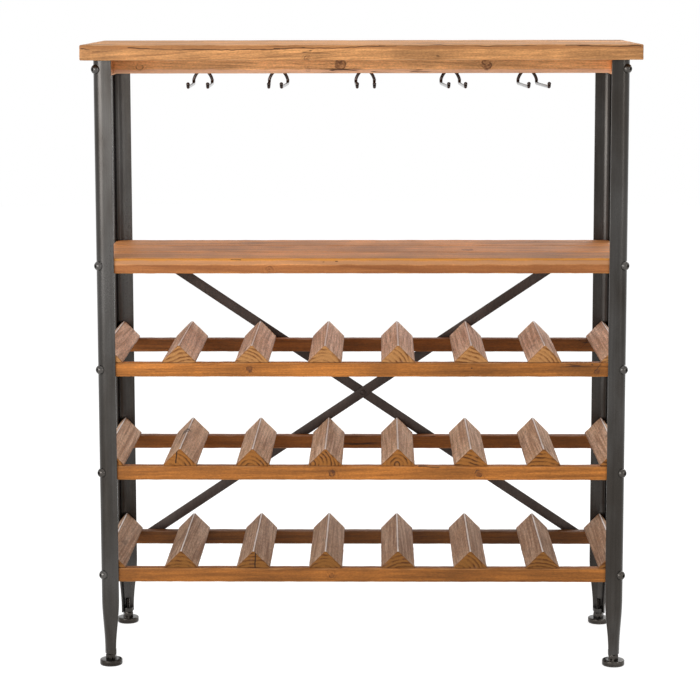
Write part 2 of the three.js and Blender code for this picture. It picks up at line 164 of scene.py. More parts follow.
# The plank top
# Four fir planks glued edge to edge, stained a warm brown, planed by hand and worn pale
# along their edges. It lies on the side rails and the centre rail and hangs over all round.
sharp_corner = math.radians(25)
worn_corner = math.radians(38)
wear_reach = 0.006
ripple_size = 0.06
chip_size = 0.018
least_upright = 0.001
shortest_edge = 1e-5
years_to_the_metre = 250
plank_slices = (0.008, 0.009, 0.0045)
plank_ripple = 0.0006
plank_chips = 0.0016
top_ease = 0.0018
bend_rounds = 8


def pick(piece, kind, wanted):
    """Selects, in edit mode, only those faces, edges or points of a piece that are wanted."""
    bpy.ops.mesh.select_mode(type=kind)
    bpy.ops.mesh.select_all(action="DESELECT")
    shape = bmesh.from_edit_mesh(piece.data)
    for part in {"VERT": shape.verts, "EDGE": shape.edges, "FACE": shape.faces}[kind]:
        if wanted(part):
            part.select_set(True)
    shape.select_flush_mode()
    bmesh.update_edit_mesh(piece.data)


def middle_of(node):
    """The middle of a part of the plain model."""
    low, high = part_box(node)
    return (low + high) / 2


def saw_timber(name, low, high):
    """A squared timber that fills the room between two corners."""
    bpy.ops.mesh.primitive_cube_add(size=1, location=(low + high) / 2, scale=high - low)
    timber = bpy.context.object
    timber.name = name
    bpy.ops.object.transform_apply()
    return timber


def sharp_runs(piece):
    """Where the sharp edges of a piece run, as pairs of end points."""
    shape = bmesh.new()
    shape.from_mesh(piece.data)
    runs = [
        [list(end.co) for end in edge.verts]
        for edge in shape.edges
        if edge.calc_face_angle(0) > sharp_corner and edge.calc_length() > shortest_edge
    ]
    shape.free()
    return np.array(runs)


def slice_finely(piece, steps):
    """Cuts a piece across into strips of the given widths along X, Y and Z."""
    corners = [Vector(corner) for corner in piece.bound_box]
    bpy.ops.object.mode_set(mode="EDIT")
    for axis, step in enumerate(steps):
        low = min(corner[axis] for corner in corners)
        high = max(corner[axis] for corner in corners)
        count = max(2, round((high - low) / step))
        normal = Vector([float(axis == i) for i in range(3)])
        for i in range(1, count):
            bpy.ops.mesh.select_all(action="SELECT")
            place = low + (high - low) * i / count
            bpy.ops.mesh.bisect(plane_co=normal * place, plane_no=normal)
    bpy.ops.object.mode_set(mode="OBJECT")


def wear_down(piece, runs, ripple, chips):
    """Leaves the surface a little uneven and the edges rubbed, and notes how near each edge is."""
    points = np.array([point.co for point in piece.data.vertices])
    near = np.full(len(points), wear_reach)
    for start, end in runs:
        along = end - start
        share = np.clip((points - start) @ along / (along @ along), 0, 1)
        near = np.minimum(near, np.linalg.norm(points - start - share[:, None] * along, axis=1))
    edge = piece.data.attributes.new("edge", "FLOAT", "POINT")
    edge.data.foreach_set("value", 1 - near / wear_reach)
    rubbed = piece.vertex_groups.new(name="rubbed")
    for i, distance in enumerate(near):
        rubbed.add([i], (1 - distance / wear_reach) ** 2, "REPLACE")
    for label, size, depth, level, group in (
        ("ripple", ripple_size, ripple, 0.5, ""),
        ("chips", chip_size, chips, 1.0, "rubbed"),
    ):
        texture = bpy.data.textures.new(label, "CLOUDS")
        texture.noise_scale = size
        texture.noise_depth = 2
        worn = piece.modifiers.new(label, "DISPLACE")
        worn.texture = texture
        worn.texture_coords = "LOCAL"
        worn.strength = depth
        worn.mid_level = level
        worn.vertex_group = group
        bpy.ops.object.modifier_apply(modifier=label)
    bpy.ops.object.shade_smooth_by_angle(angle=worn_corner)


def upright(run):
    """Whether an edge stands on end."""
    return abs(run.verts[0].co.z - run.verts[1].co.z) > least_upright


def round_edges(piece, wanted, radius, rounds=2):
    """Rounds those edges of a piece that are wanted."""
    bpy.ops.object.mode_set(mode="EDIT")
    pick(piece, "EDGE", wanted)
    bpy.ops.mesh.bevel(offset=radius, segments=rounds, affect="EDGES")
    bpy.ops.object.mode_set(mode="OBJECT")


def ease_edges(piece, radius):
    """Takes the sharp edges of a piece off with a small round."""
    round_edges(piece, lambda edge: edge.calc_face_angle(0) > sharp_corner, radius)


def lay_grain(piece, axis, pith, tilt, start):
    """Notes where in its log each point grew: how far up the tree, and how far off its pith."""
    points = np.array([point.co for point in piece.data.vertices])
    points -= points.mean(axis=0)
    along = points[:, axis]
    across = points[:, 1 - axis] - pith[0] + tilt[0] * along
    height = points[:, 2] - pith[1] + tilt[1] * along
    log = piece.data.attributes.new("log", "FLOAT_VECTOR", "POINT")
    log.data.foreach_set("vector", np.stack([along + start, across, height], 1).ravel())


def chance_grain(piece, axis):
    """Lays the grain of a timber as it falls out of the log, the same each time for one name."""
    luck = random.Random(piece.name)
    side = luck.uniform(0, 2 * math.pi)
    depth = luck.uniform(0.03, 0.11)
    pith = (depth * math.cos(side), depth * math.sin(side))
    tilt = (luck.uniform(-0.03, 0.03), luck.uniform(-0.03, 0.03))
    lay_grain(piece, axis, pith, tilt, luck.uniform(1, 40))


def take_up(*pieces):
    """Selects only these pieces, the first of them active."""
    bpy.ops.object.select_all(action="DESELECT")
    for piece in pieces:
        piece.select_set(True)
    bpy.context.view_layer.objects.active = pieces[0]


def join_up(name, pieces):
    """Several shapes as one piece with a name."""
    take_up(*pieces)
    bpy.ops.object.join()
    joined = bpy.context.object
    joined.name = name
    return joined


def fit_piece(piece, node, slot, *finishes, body="rack"):
    """The finished piece moves with its part of the rack, and stands for the plain solid there."""
    for finish in finishes:
        piece.data.materials.append(finish)
    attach(piece, body)
    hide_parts(node)


def mixed(share, first, second, blend="MIX"):
    """One colour over another by a share."""
    parts = {0: share, 6: first, 7: second}
    return shade_on("ShaderNodeMix", parts, out=2, data_type="RGBA", blend_type=blend)


def vectors(operation, *places, out=0):
    """A sum of places, or, from the second output, a number that is worked out from them."""
    return shade_on("ShaderNodeVectorMath", dict(enumerate(places)), out, operation=operation)


def between(value, low, high, to_low=0.0, to_high=1.0):
    """A value eased from one range into another."""
    ranges = {0: value, 1: low, 2: high, 3: to_low, 4: to_high}
    return shade_on("ShaderNodeMapRange", ranges, interpolation_type="SMOOTHSTEP")


def figure(place, stretch, detail=2.0, out=0):
    """Noise with so many spots to the metre along each axis of a place."""
    spot = shade_on("ShaderNodeMapping", {"Vector": place, "Scale": stretch})
    return shade_on("ShaderNodeTexNoise", {"Vector": spot, "Scale": 1.0, "Detail": detail}, out=out)


def mottled(colour, noise, low, high, darkest, palest):
    """A colour made darker and paler by noise, eased between two of its levels."""
    return mixed(1.0, colour, between(noise, low, high, darkest, palest), "MULTIPLY")


def noted(tree, name, out="Vector"):
    """What the mesh of a piece notes at each point."""
    return shade(tree, "ShaderNodeAttribute", out=out, attribute_name=name)


def ruffled_place(tree, spots, reach):
    """The place on the rack, pushed about a little so that what is drawn there looks grown."""
    place = shade(tree, "ShaderNodeTexCoord", out="Object")
    push = vectors("SUBTRACT", figure(place, (spots, spots, spots), out=1), (0.5, 0.5, 0.5))
    return vectors("MULTIPLY_ADD", push, (reach, reach, reach), place)


def knot_shares(tree, knots):
    """How near a point is to a knot's heart, from zero at twice its reach, and how dark it is."""
    place = ruffled_place(tree, 90, 0.010)
    nearness = []
    darkness = []
    for x, y, z, size, fill in knots:
        far = vectors("DISTANCE", place, (x, y, z), out=1)
        near = shade_on("ShaderNodeMapRange", {0: far, 1: 2.2 * size, 2: 0.0})
        nearness.append(near)
        darkness.append(sums("MULTIPLY", between(near, 0.50, 0.66), fill))
    return largest(nearness), largest(darkness)


def split_shade(tree, splits):
    """Drying splits and worn dark lines: each from one x and z to another, of half a width."""
    place = ruffled_place(tree, 26, 0.008)
    depths = []
    for x0, z0, x1, z1, width in splits:
        run = Vector((x1 - x0, 0, z1 - z0))
        flat = vectors("MULTIPLY", vectors("SUBTRACT", place, (x0, 0, z0)), (1, 0, 1))
        share = vectors("DOT_PRODUCT", flat, run / run.length_squared, out=1)
        held = shade_on("ShaderNodeClamp", {0: share})
        off = vectors("MULTIPLY_ADD", held, -run, flat)
        depths.append(between(vectors("LENGTH", off, out=1), width, width * 0.35))
    return largest(depths)


def front_bands_tint_and_light(colour, bands, front):
    """Paints bands across the front of a timber, each from one height to another, a little broken:
    tints of the wood, and on the rails under the top a band of painted light.
    """
    place = ruffled_place(colour.id_data, 30, 0.004)
    spot = shade_on("ShaderNodeSeparateXYZ", {0: place}).node.outputs
    facing = between(spot["Y"], front + 0.004, front + 0.002)
    for low, high, tint, strength in bands:
        soft = min(0.0014, (high - low) / 2)
        above = between(spot["Z"], low - soft, low + soft, 0.0, strength)
        below = between(spot["Z"], high + soft, high - soft)
        share = sums("MULTIPLY", sums("MULTIPLY", above, below), facing)
        colour = mixed(share, colour, tint)
    return colour


def off_pith(log, spots, detail, push):
    """How far from its pith each point of a log grew, with the rings a little wavy."""
    waver = figure(log, spots, detail, out=1)
    bent = vectors("MULTIPLY_ADD", waver, (0, push, push), log)
    return vectors("LENGTH", vectors("MULTIPLY", bent, (0, 1, 1)), out=1)


def ring_shade(years, late, levels):
    """Pale early wood in each year of growth that darkens to a line of late wood."""
    ring = shade_on("ShaderNodeValToRGB", {0: sums("FRACT", years)})
    ramp = ring.node.color_ramp
    ramp.elements[0].color = (0, 0, 0, 1)
    ramp.elements[1].position = late
    for position, level in levels:
        ramp.elements.new(position).color = (level, level, level, 1)
    return ring


def open_tree(name):
    """A new material with its shader tree still empty."""
    material = bpy.data.materials.new(name)
    material.use_nodes = True
    material.node_tree.nodes.clear()
    return material, material.node_tree


def coat(colour, rough, rise, strength, depth, sheen, level):
    """Ends a shader tree in a skin raised a little, with one socket of its sheen set to a level."""
    raised = shade_on("ShaderNodeBump", {"Strength": strength, "Distance": depth, "Height": rise})
    sockets = {"Base Color": colour, "Roughness": rough, "Normal": raised, sheen: level}
    close("ShaderNodeOutputMaterial", shade_on("ShaderNodeBsdfPrincipled", sockets))


def fir(name, early, late, worn, knots, rings=0.35, splits=(), bands=(), front=0.0):
    """Stained fir with its yearly rings, fibres, tone, knots, splits and rubbed edges."""
    material, tree = open_tree(name)
    log = noted(tree, "log")

    knot, knot_fill = knot_shares(tree, knots)
    radius = off_pith(log, (1.2, 8, 8), 2.0, 0.010)
    years = sums("MULTIPLY_ADD", radius, years_to_the_metre, figure(log, (0.6, 34, 34)))
    years = sums("MULTIPLY_ADD", knot, 2.6, years)
    ring = ring_shade(years, 0.90, ((0.40, 0.12), (0.74, 0.60), (0.99, 0.06)))
    strength = between(figure(log, (2.2, 26, 26), 3.0), 0.30, 0.68, 0.4 * rings, rings)
    strength = sums("MULTIPLY_ADD", knot, 0.5, strength)
    colour = mixed(sums("MULTIPLY", ring, strength), early, late)

    streaks = figure(log, (5, 210, 210), 4.0)
    colour = mottled(colour, streaks, 0.28, 0.72, 0.74, 1.19)
    tones = figure(log, (2.4, 20, 20), 3.0)
    colour = mottled(colour, tones, 0.30, 0.70, 0.84, 1.10)
    patches = figure(log, (7, 3, 3), 4.0)
    colour = mottled(colour, patches, 0.32, 0.68, 0.76, 1.19)
    planks = figure(log, (0.35, 0, 0), 0.0)
    colour = mottled(colour, planks, 0.35, 0.65, 0.88, 1.07)
    fibres = figure(log, (34, 900, 900), 3.0)
    colour = mottled(colour, fibres, 0.25, 0.75, 0.82, 1.17)
    grit = figure(log, (240, 520, 520))
    colour = mottled(colour, grit, 0.28, 0.72, 0.86, 1.13)
    if bands:
        colour = front_bands_tint_and_light(colour, bands, front)

    check = sums("ABSOLUTE", sums("SUBTRACT", figure(log, (4.5, 190, 190), 1.0), 0.5))
    rare = between(figure(log, (3.2, 18, 18)), 0.60, 0.66)
    dark = sums("MULTIPLY", between(check, 0.020, 0.006), rare)
    if splits:
        broken = between(figure(log, (16, 60, 60), 3.0), 0.32, 0.52, 0.35, 1.0)
        dark = sums("MAXIMUM", dark, sums("MULTIPLY", split_shade(tree, splits), broken))
    whorl = sums("FRACT", sums("MULTIPLY", years, 1.7))
    heart = mixed(whorl, paint(108, 62, 38), paint(50, 28, 20))
    clotted = between(figure(log, (150, 260, 260)), 0.36, 0.58, 0.30, 1.0)
    colour = mixed(sums("MULTIPLY", knot_fill, clotted), colour, heart)
    gum = between(figure(log, (130, 130, 130)), 0.36, 0.60, 0.15, 0.8)
    rim = sums("MULTIPLY", between(knot, 0.46, 0.55), between(knot, 0.68, 0.57))
    dark = sums("MAXIMUM", dark, sums("MULTIPLY", rim, gum))
    colour = mixed(sums("MULTIPLY", dark, 0.86), colour, paint(48, 28, 20))

    edge = noted(tree, "edge", "Fac")
    ragged = sums("MULTIPLY_ADD", figure(log, (30, 120, 120), 3.0), 0.9, edge)
    colour = mixed(between(ragged, 1.12, 1.42, 0.0, 0.55), colour, worn)

    rough = between(fibres, 0.2, 0.8, 0.46, 0.68)
    grain_rise = sums("MULTIPLY_ADD", fibres, 0.8, sums("MULTIPLY", dark, -3.0))
    rise = sums("MULTIPLY_ADD", ring, 0.3, grain_rise)
    coat(colour, rough, rise, 0.5, 0.0005, "Specular IOR Level", 0.25)
    return material


def glue_up(name, node, widths, corner, ease, finish):
    """Planks of the given shares of the depth, side by side, with the outer corners rounded."""
    low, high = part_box(node)
    edge = low.y
    planks = []
    for number, share in enumerate(widths):
        width = (high.y - low.y) * share
        near = Vector((low.x, edge, low.z))
        plank = saw_timber(f"{name}_{number}", near, Vector((high.x, edge + width, high.z)))
        edge += width
        if corner and number in (0, len(widths) - 1):
            outside = -1 if number == 0 else 1
            middle = edge - width / 2
            round_edges(
                plank,
                lambda run: upright(run) and (run.verts[0].co.y - middle) * outside > 0,
                corner,
                bend_rounds,
            )
        runs = sharp_runs(plank)
        ease_edges(plank, ease)
        slice_finely(plank, plank_slices)
        chance_grain(plank, 0)
        wear_down(plank, runs, plank_ripple, plank_chips)
        planks.append(plank)
    fit_piece(join_up(name, planks), node, "plank_wood", finish)


top_fir = fir(
    "top_fir",
    paint(210, 150, 94),
    paint(138, 84, 46),
    paint(226, 176, 128),
    knots=[
        (-0.092, -0.178, 1.0765, 0.0050, 0.3),
        (0.10, -0.10, 1.1, 0.010, 0.4),
        (0.34, 0.05, 1.1, 0.013, 0.5),
        (-0.30, 0.09, 1.1, 0.011, 0.6),
    ],
    splits=[
        (-0.478, 1.0925, -0.464, 1.0915, 0.0012),
        (-0.458, 1.0890, -0.446, 1.0895, 0.0012),
        (-0.400, 1.0935, -0.270, 1.0900, 0.0011),
        (-0.270, 1.0900, -0.140, 1.0925, 0.0010),
        (-0.150, 1.0935, 0.060, 1.0965, 0.0010),
        (0.030, 1.0975, 0.300, 1.0975, 0.0008),
        (0.350, 1.0970, 0.478, 1.0960, 0.0012),
    ],
    bands=[(1.0922, 1.0990, paint(160, 104, 60), 0.6)],
    front=-0.178,
)
glue_up("plank_top", "top_board", (0.25, 0.27, 0.22, 0.26), 0, top_ease, top_fir)

# The rails under the top
# Two side rails, bolted to the posts, and a centre rail that the wire loops hang from. They
# are sawn from the same fir, with a few small knots, but painted paler than the top: painted
# light where the top shades them, with a pale band of painted light along the bottom of the front.
post_bend_inside = 0.0127
rail_slice = 0.0046
rail_slice_along = 0.007
rail_ease = 0.0011
rail_ripple = 0.0005
rail_chips = 0.0014


def plane_rail(name, node, rounded, axis, finish):
    """A rail along X or Y, with the upright corners that meet a post rounded to its bend."""
    low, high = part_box(node)
    rail = saw_timber(name, low, high)
    middle = middle_of(node)
    if rounded:
        round_edges(
            rail,
            lambda run: upright(run)
            and all(
                not way or (place > centre) == (way > 0)
                for way, place, centre in zip(rounded, run.verts[0].co, middle)
            ),
            post_bend_inside,
            bend_rounds,
        )
    runs = sharp_runs(rail)
    ease_edges(rail, rail_ease)
    steps = [rail_slice, rail_slice, rail_slice]
    steps[axis] = rail_slice_along
    slice_finely(rail, steps)
    chance_grain(rail, axis)
    wear_down(rail, runs, rail_ripple, rail_chips)
    fit_piece(rail, node, "plank_wood", finish)


# Paler than the top's fir: painted light, standing in for light under the top's overhang.
under_fir_painted_light = fir(
    "under_rail_fir",
    paint(248, 186, 124),
    paint(176, 114, 68),
    paint(242, 198, 160),
    knots=[
        (-0.396, -0.0105, 1.0560, 0.0060, 0.1),
        (-0.038, -0.0105, 1.0610, 0.0100, 0.7),
        (0.222, -0.0105, 1.0600, 0.0085, 0.8),
        (-0.096, -0.0105, 1.0510, 0.0040, 0.2),
    ],
    # A pale pinkish band along the bottom of the front: painted light below the top's shadow.
    bands=[(1.0455, 1.0520, paint(243, 197, 170), 0.6)],
    front=-0.010,
)
plane_rail("centre_rail", "top_centre_rail", None, 0, under_fir_painted_light)
plane_rail("side_rail_left", "top_side_rail_left", (-1, 0), 1, under_fir_painted_light)
plane_rail("side_rail_right", "top_side_rail_right", (1, 0), 1, under_fir_painted_light)

# The shelf
# Three planks glued edge to edge like the top, let in between the posts with its corners
# rounded to their bends. Its front is banded: a yellow line along the top edge, a pale band
# under it, and darker brown below.
shelf_ease = 0.0013
shelf_fir = fir(
    "shelf_fir",
    paint(230, 156, 92),
    paint(112, 66, 38),
    paint(224, 156, 82),
    rings=0.6,
    knots=[(-0.160, -0.155, 0.7110, 0.0055, 0.1), (0.19, -0.02, 0.7305, 0.010, 0.4)],
    splits=[
        (-0.226, 0.7272, -0.210, 0.7274, 0.0011),
        (-0.067, 0.7232, -0.065, 0.7232, 0.0012),
        (-0.045, 0.7240, -0.042, 0.7240, 0.0013),
    ],
    bands=[
        (0.7262, 0.7302, paint(202, 134, 50), 0.85),
        (0.7190, 0.7255, paint(190, 138, 98), 0.75),
        (0.7030, 0.7180, paint(138, 78, 38), 0.7),
    ],
    front=-0.1547,
)
glue_up("shelf_planks", "shelf_board", (0.32, 0.35, 0.33), post_bend_inside, shelf_ease, shelf_fir)

# The rails of the three tiers
# Squared fir, a front rail and a back rail to each tier, bolted to the posts at their ends.
# The bottle rests stand on them.
tier_numbers = (1, 2, 3)
# Each tier's rails are painted darker the lower the tier stands, the lowest back rail most of all:
# painted shade.
rail_painted_shade_by_tier = {"front": (1.0, 0.99, 0.97), "back": (0.99, 0.97, 0.76)}
rail_wood = {
    "front": ((174, 108, 46), (112, 60, 22), (200, 146, 94)),
    # The back rails' pale pinkish colour on their rubbed edges is partly wear and partly a painted
    # sheen.
    "back": ((146, 88, 36), (92, 52, 22), (196, 154, 128)),
}
rail_marks = dict(
    knots=[
        (-0.052, -0.156, 0.350, 0.0066, 0.9),
        (0.207, -0.156, 0.349, 0.0065, 0.5),
        (-0.196, -0.156, 0.535, 0.0060, 0.7),
        (0.411, -0.156, 0.530, 0.0045, 0.9),
        (-0.0535, -0.156, 0.166, 0.0050, 0.2),
        (0.10, 0.155, 0.532, 0.0060, 0.5),
        (-0.30, 0.155, 0.168, 0.0070, 0.5),
        (-0.38, 0.155, 0.351, 0.0060, 0.5),
    ],
    splits=[
        (0.100, 0.3600, 0.136, 0.3603, 0.0010),
        (0.1917, 0.5380, 0.1937, 0.5380, 0.0013),
        (0.4192, 0.5440, 0.4069, 0.5290, 0.0009),
        (0.4026, 0.5438, 0.4050, 0.5434, 0.0012),
    ],
)
for place, way in (("front", -1), ("back", 1)):
    for number in tier_numbers:
        node = f"tier_{number}_{place}_rail"
        tone = rail_painted_shade_by_tier[place][number - 1]
        woods = [paint(*(channel * tone for channel in wood)) for wood in rail_wood[place]]
        tier_fir = fir(f"{node}_fir", *woods, **rail_marks)
        plane_rail(f"{node}_timber", node, (0, way), 0, tier_fir)

# The bottle rests
# Three-sided bars of older wood, sawn from the corner of a beam: the slanted sides are a
# weathered grey pink, paler in part as a painted sheen and painted darker on the lower tiers as
# shade, and still show the saw; the ridge is planed to a narrow strip, painted near white as a
# highlight; and the cut ends are fresh.
rest_count = 8
half_spacing = 0.064
rest_half = 0.030
rest_flank = 0.0285
rest_ease = 0.0008
rest_slices = (0.0075, 0.0062, 0.0042)
rest_ripple = 0.0005
rest_chips = 0.0013
rest_weld = 0.00002
faces_end = 0.6


def old_fir(name, rest_painted_shade_by_tier, stains=()):
    """Weathered, sawn fir: dusty grey brown, paler in part as a painted sheen, with painted shade
    by tier, the marks of the saw, and its planed ridge painted near white as a highlight.
    """
    material, tree = open_tree(name)
    log = noted(tree, "log")
    grain = figure(log, (5, 230, 230), 4.0)
    # The pale grey pink of the sides is partly weathered wood and partly a painted sheen.
    colour = mixed(between(grain, 0.32, 0.68), paint(178, 138, 113), paint(245, 212, 189))
    tone = between(figure(log, (7, 26, 26), 3.0), 0.30, 0.70, 0.0, 0.5)
    colour = mixed(tone, colour, paint(206, 162, 126))
    saw = figure(log, (80, 330, 330), 3.0)
    colour = mottled(colour, saw, 0.30, 0.70, 0.76, 1.18)
    fuzz = figure(log, (420, 900, 900))
    colour = mottled(colour, fuzz, 0.28, 0.72, 0.80, 1.16)
    stain = between(figure(log, (16, 42, 42)), 0.66, 0.76, 0.0, 0.55)
    colour = mixed(stain, colour, paint(92, 66, 52))
    # Each tier's own darkening of the sides: painted shade, more on the lower tiers.
    colour = mixed(1.0, colour, rest_painted_shade_by_tier, "MULTIPLY")
    edge_line = between(noted(tree, "edge", "Fac"), 0.60, 0.88, 0.0, 0.45)
    colour = mixed(edge_line, colour, paint(104, 72, 54))
    # The planed ridge strip is painted near white: a painted highlight over the paler planed wood.
    off_ridge = vectors("LENGTH", noted(tree, "ridge"), out=1)
    planed_ridge_highlight = sums("MULTIPLY_ADD", figure(log, (24, 300, 300), 3.0), -0.0016, off_ridge)
    colour = mixed(between(planed_ridge_highlight, 0.0010, 0.0004, 0.0, 0.9), colour, paint(255, 246, 240))
    if stains:
        colour = mixed(knot_shares(tree, stains)[1], colour, paint(84, 66, 50))
    rise = sums("MULTIPLY_ADD", saw, 1.2, sums("ADD", grain, fuzz))
    coat(colour, 0.72, rise, 0.6, 0.0006, "Specular IOR Level", 0.2)
    return material


def end_grain(name, early, late, cracks=()):
    """The cut end of a rest: wide dark and pale rings round the heart, and a drying crack."""
    material, tree = open_tree(name)
    log = noted(tree, "log")
    years = sums("MULTIPLY", off_pith(log, (0, 42, 42), 3.0, 0.009), 150.0)
    ring = ring_shade(years, 0.78, ((0.34, 0.10), (0.58, 0.72), (0.97, 0.08)))
    strength = between(figure(log, (0, 60, 60)), 0.34, 0.62, 0.2, 1.0)
    colour = mixed(sums("MULTIPLY", ring, strength), early, late)
    pores = figure(log, (0, 760, 760))
    colour = mottled(colour, pores, 0.28, 0.72, 0.80, 1.16)
    dirt = between(figure(log, (0, 55, 55)), 0.60, 0.78, 0.0, 0.4)
    colour = mixed(dirt, colour, paint(150, 112, 88))
    edge_line = between(noted(tree, "edge", "Fac"), 0.6, 1.0, 0.0, 0.35)
    colour = mixed(edge_line, colour, paint(120, 76, 46))
    if cracks:
        colour = mixed(split_shade(tree, cracks), colour, paint(30, 20, 16))
    coat(colour, 0.7, pores, 0.5, 0.0004, "Specular IOR Level", 0.2)
    return material


# The lower tiers' sides are painted darker: painted shade.
rest_sides = {
    1: old_fir("rest_side_tier_1", paint(255, 254, 252)),
    2: old_fir(
        "rest_side_tier_2",
        paint(240, 236, 225),
        stains=[
            (-0.3260, 0.044, 0.3885, 0.0085, 0.8),
            (-0.3240, 0.030, 0.3895, 0.0100, 0.9),
            (-0.3255, 0.014, 0.3890, 0.0085, 0.8),
        ],
    ),
    3: old_fir("rest_side_tier_3", paint(208, 202, 192)),
}
rest_ends = {
    1: end_grain("rest_end_tier_1", paint(188, 134, 80), paint(108, 60, 26)),
    2: end_grain(
        "rest_end_tier_2",
        paint(162, 104, 47),
        paint(62, 30, 10),
        cracks=[(-0.3250, 0.390, -0.3285, 0.368, 0.0016)],
    ),
    3: end_grain(
        "rest_end_tier_3",
        paint(140, 92, 42),
        paint(80, 42, 15),
        cracks=[(-0.1885, 0.180, -0.1875, 0.206, 0.0016)],
    ),
}


def mend_skin(weld=0):
    """Merges the points of a piece that lie within a weld, and turns its faces outwards."""
    bpy.ops.object.mode_set(mode="EDIT")
    bpy.ops.mesh.select_all(action="SELECT")
    if weld:
        bpy.ops.mesh.remove_doubles(threshold=weld)
    bpy.ops.mesh.normals_make_consistent()
    bpy.ops.object.mode_set(mode="OBJECT")


def cut_rest(name, node, pith, side_fir, end_fir):
    """A three-sided bar on the rails of a tier, cut off and rounded where it meets a post."""
    low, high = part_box(node)
    centre = middle_of(node)
    middle = half_spacing * round(centre.x / half_spacing)
    near = Vector((middle - rest_half, low.y, low.z))
    bar = saw_timber(name, near, Vector((middle + rest_half, high.y, high.z)))
    round_edges(
        bar,
        lambda run: all(point.co.z > centre.z for point in run.verts)
        and abs(run.verts[0].co.y - run.verts[1].co.y) > rest_half,
        rest_flank,
        1,
    )
    if abs(middle) > (rest_count - 2) * half_spacing:
        way = Vector((math.copysign(1, middle), 0, 0))
        wall = low.x if middle < 0 else high.x
        bpy.ops.object.mode_set(mode="EDIT")
        bpy.ops.mesh.select_all(action="SELECT")
        bpy.ops.mesh.bisect(plane_co=(wall, 0, 0), plane_no=way, clear_outer=True, use_fill=True)
        bpy.ops.object.mode_set(mode="OBJECT")
        round_edges(
            bar,
            lambda run: upright(run)
            and all(abs(point.co.x - wall) < rest_weld for point in run.verts)
            and abs(run.verts[0].co.y - run.verts[1].co.y) < rest_weld,
            post_bend_inside,
            6,
        )
        mend_skin(rest_weld)
    runs = sharp_runs(bar)
    ease_edges(bar, rest_ease)
    slice_finely(bar, rest_slices)
    luck = random.Random(name)
    tilt = (luck.uniform(-0.03, 0.03), luck.uniform(-0.03, 0.03))
    lay_grain(bar, 1, pith, tilt, luck.uniform(1, 40))
    ridge = bar.data.attributes.new("ridge", "FLOAT_VECTOR", "POINT")
    for offset, point in zip(ridge.data, bar.data.vertices):
        offset.vector = (point.co.x - middle, 0, high.z - point.co.z)
    wear_down(bar, runs, rest_ripple, rest_chips)
    fit_piece(bar, node, "rest_wood", side_fir, end_fir)
    for face in bar.data.polygons:
        face.material_index = int(abs(face.normal.y) > faces_end)


pith_places = {
    (1, 4): (-0.004, -0.030),
    (2, 2): (-0.012, -0.030),
    (2, 3): (0.003, -0.018),
    (2, 4): (-0.014, -0.006),
    (2, 5): (0.004, -0.008),
    (3, 4): (0.002, -0.026),
}
for number in tier_numbers:
    for rest in range(1, rest_count + 1):
        node = f"tier_{number}_divider_{rest}"
        luck = random.Random(node)
        chosen = (luck.uniform(-0.03, 0.03), luck.uniform(-0.09, -0.02))
        pith = pith_places.get((number, rest), chosen)
        cut_rest(f"tier_{number}_rest_{rest}", node, pith, rest_sides[number], rest_ends[number])

# The posts
# Steel strip 3 mm thick, bent to an angle with a wide outside bend, narrowed and drawn in
# at the foot, where a threaded boss is welded inside. Finished in a satin gunmetal.
post_leg = 0.032
post_gauge = 0.003
wood_gap = 0.0003
post_bend = 0.016
post_foot_leg = 0.021
post_foot_inset = 0.004
taper_top = 0.120
taper_bottom = 0.028
post_bottom = 0.020
post_slice = 0.012
boss_radius = 0.0096
boss_height = 0.008
boss_ease = 0.0006
stem_hole = 0.0043
foot_inset = 0.015
flange_smooth = math.radians(20)
edge_ease = 0.0005
same_place = 1e-5
fine_weld = 1e-6


def dark_steel(name, cool, warm, gloss, metal):
    """Satin dark steel, cloudy and faintly streaked from rolling."""
    material, tree = open_tree(name)
    place = shade(tree, "ShaderNodeTexCoord", out="Object")
    cloud = figure(place, (14, 14, 5), 4.0)
    colour = mixed(between(cloud, 0.32, 0.68), cool, warm)
    colour = mottled(colour, figure(place, (260, 260, 5), 3.0), 0.25, 0.75, 0.88, 1.12)
    speck = figure(place, (520, 520, 520))
    colour = mottled(colour, speck, 0.3, 0.7, 0.92, 1.08)
    rough = sums("MULTIPLY_ADD", cloud, 0.12, sums("MULTIPLY_ADD", speck, 0.08, gloss - 0.10))
    rise = sums("MULTIPLY_ADD", speck, 0.6, cloud)
    coat(colour, rough, rise, 0.16, 0.0004, "Metallic", metal)
    return material


post_steel = dark_steel("post_steel", paint(76, 74, 72), paint(58, 54, 50), 0.30, 0.95)


def bend_post(corner_x, corner_y, top):
    """The front left post: one flange, spun round the bend, then drawn out to the other."""
    start = corner_y + post_bend
    flange = post_leg - post_bend
    place = (corner_x, start + flange / 2, (post_bottom + top) / 2)
    bpy.ops.mesh.primitive_plane_add(size=1, rotation=(0, math.pi / 2, 0), location=place)
    post = bpy.context.object
    post.scale = (top - post_bottom, flange, 1)
    bpy.ops.object.transform_apply()
    bpy.ops.object.mode_set(mode="EDIT")
    pick(post, "EDGE", lambda run: all(point.co.y < start + same_place for point in run.verts))
    centre = (corner_x + post_bend, start, 0)
    bpy.ops.mesh.spin(steps=14, angle=math.pi / 2, center=centre, axis=(0, 0, -1))
    bpy.ops.mesh.extrude_edges_move(TRANSFORM_OT_translate={"value": (flange, 0, 0)})
    bpy.ops.object.mode_set(mode="OBJECT")
    mend_skin(fine_weld)
    wall = post.modifiers.new("wall", "SOLIDIFY")
    wall.thickness = post_gauge
    wall.offset = 1 if post.data.polygons[0].normal.x > 0 else -1
    bpy.ops.object.modifier_apply(modifier="wall")
    return post


def fade(value, low, high):
    """One up to the low end of a range, zero from its high end on, and eased between."""
    share = min(1, max(0, (value - low) / (high - low)))
    return 1 - share * share * (3 - 2 * share)


